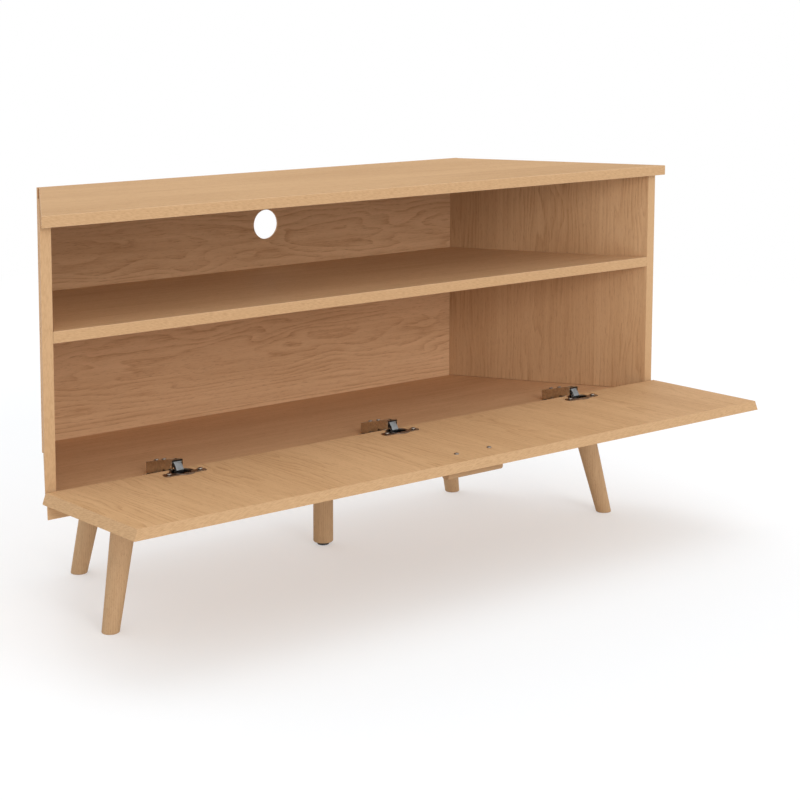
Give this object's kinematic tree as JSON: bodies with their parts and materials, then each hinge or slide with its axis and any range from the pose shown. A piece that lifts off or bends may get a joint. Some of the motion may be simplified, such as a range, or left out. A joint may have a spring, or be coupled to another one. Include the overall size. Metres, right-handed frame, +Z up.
{
  "type": "corner tv cabinet",
  "caption": "Low corner television cabinet in oak veneer: open shelf bay over a bay closed by a bottom-hinged drop flap, on splayed tapered legs",
  "frame": {"origin": "on the ground, under the middle of the bounding box with the flap open as at rest", "axes": "+X to the cabinet's right along its length, seen from in front, +Y to the back, +Z up"},
  "size_m": [1.2, 0.5436, 0.59],
  "materials": {
    "oak": "satin lacquered oak veneer and solid oak",
    "hinge_steel": "nickel-plated pressed steel",
    "link_metal": "bright nickel plate",
    "cup_metal": "dark plated pressed steel",
    "black_plastic": "matt moulded plastic"
  },
  "bodies": {
    "carcass": {"top_panel": "oak", "floor_panel": "oak", "side_panel_left": "oak", "side_panel_right": "oak", "shelf_panel": "oak", "back_panel": "oak", "front_leg_left": "oak", "front_leg_right": "oak", "rear_leg_left": "oak", "rear_leg_right": "oak", "centre_leg": "oak", "hinge_plate_left": "hinge_steel", "hinge_arm_left": "hinge_steel", "plate_screw_left_left": "hinge_steel", "plate_screw_left_right": "hinge_steel", "arm_screw_left_rear": "hinge_steel", "arm_screw_left_front": "hinge_steel", "hinge_plate_middle": "hinge_steel", "hinge_arm_middle": "hinge_steel", "plate_screw_middle_left": "hinge_steel", "plate_screw_middle_right": "hinge_steel", "arm_screw_middle_rear": "hinge_steel", "arm_screw_middle_front": "hinge_steel", "hinge_plate_right": "hinge_steel", "hinge_arm_right": "hinge_steel", "plate_screw_right_left": "hinge_steel", "plate_screw_right_right": "hinge_steel", "arm_screw_right_rear": "hinge_steel", "arm_screw_right_front": "hinge_steel"},
    "flap": {"flap_panel": "oak", "flap_pull": "oak", "pull_screw_left": "hinge_steel", "pull_screw_right": "hinge_steel", "hinge_cup_left": "cup_metal", "cup_screw_left_left": "hinge_steel", "cup_screw_left_right": "hinge_steel", "hinge_cup_middle": "cup_metal", "cup_screw_middle_left": "hinge_steel", "cup_screw_middle_right": "hinge_steel", "hinge_cup_right": "cup_metal", "cup_screw_right_left": "hinge_steel", "cup_screw_right_right": "hinge_steel"},
    "outer_link_left": {"hinge_outer_link_left": "link_metal"},
    "inner_link_left": {"hinge_inner_link_left": "link_metal"},
    "outer_link_middle": {"hinge_outer_link_middle": "link_metal"},
    "inner_link_middle": {"hinge_inner_link_middle": "link_metal"},
    "outer_link_right": {"hinge_outer_link_right": "link_metal"},
    "inner_link_right": {"hinge_inner_link_right": "link_metal"},
    "glide": {"centre_leg_glide": "black_plastic"}
  },
  "joints": [
    {"name": "flap_hinge", "type": "hinge", "parent": "carcass", "child": "flap", "pos_m": [0, -0.0498, 0.21155], "axis": [-1, 0, 0], "range_deg": [0, 90]},
    {"name": "outer_link_left_pin", "type": "hinge", "parent": "carcass", "child": "outer_link_left", "pos_m": [-0.3915, -0.05225, 0.229], "axis": [1, 0, 0], "range_deg": [0, 42.72]},
    {"name": "inner_link_left_pin", "type": "hinge", "parent": "carcass", "child": "inner_link_left", "pos_m": [-0.3915, -0.05025, 0.2235], "axis": [1, 0, 0], "range_deg": [0, 51.51]},
    {"name": "outer_link_middle_pin", "type": "hinge", "parent": "carcass", "child": "outer_link_middle", "pos_m": [0, -0.05225, 0.229], "axis": [1, 0, 0], "range_deg": [0, 42.72]},
    {"name": "inner_link_middle_pin", "type": "hinge", "parent": "carcass", "child": "inner_link_middle", "pos_m": [0, -0.05025, 0.2235], "axis": [1, 0, 0], "range_deg": [0, 51.51]},
    {"name": "outer_link_right_pin", "type": "hinge", "parent": "carcass", "child": "outer_link_right", "pos_m": [0.3915, -0.05225, 0.229], "axis": [1, 0, 0], "range_deg": [0, 42.72]},
    {"name": "inner_link_right_pin", "type": "hinge", "parent": "carcass", "child": "inner_link_right", "pos_m": [0.3915, -0.05025, 0.2235], "axis": [1, 0, 0], "range_deg": [0, 51.51]},
    {"name": "glide_thread", "type": "slide", "parent": "carcass", "child": "glide", "axis": [0, 0, -1], "range_m": [-0.001, 0.006]}
  ],
  "couplings": [
    {"joint": "outer_link_left_pin", "follows": "flap_hinge", "ratio": 0.47415},
    {"joint": "inner_link_left_pin", "follows": "flap_hinge", "ratio": 0.57182},
    {"joint": "outer_link_middle_pin", "follows": "flap_hinge", "ratio": 0.47415},
    {"joint": "inner_link_middle_pin", "follows": "flap_hinge", "ratio": 0.57182},
    {"joint": "outer_link_right_pin", "follows": "flap_hinge", "ratio": 0.47415},
    {"joint": "inner_link_right_pin", "follows": "flap_hinge", "ratio": 0.57182}
  ]
}
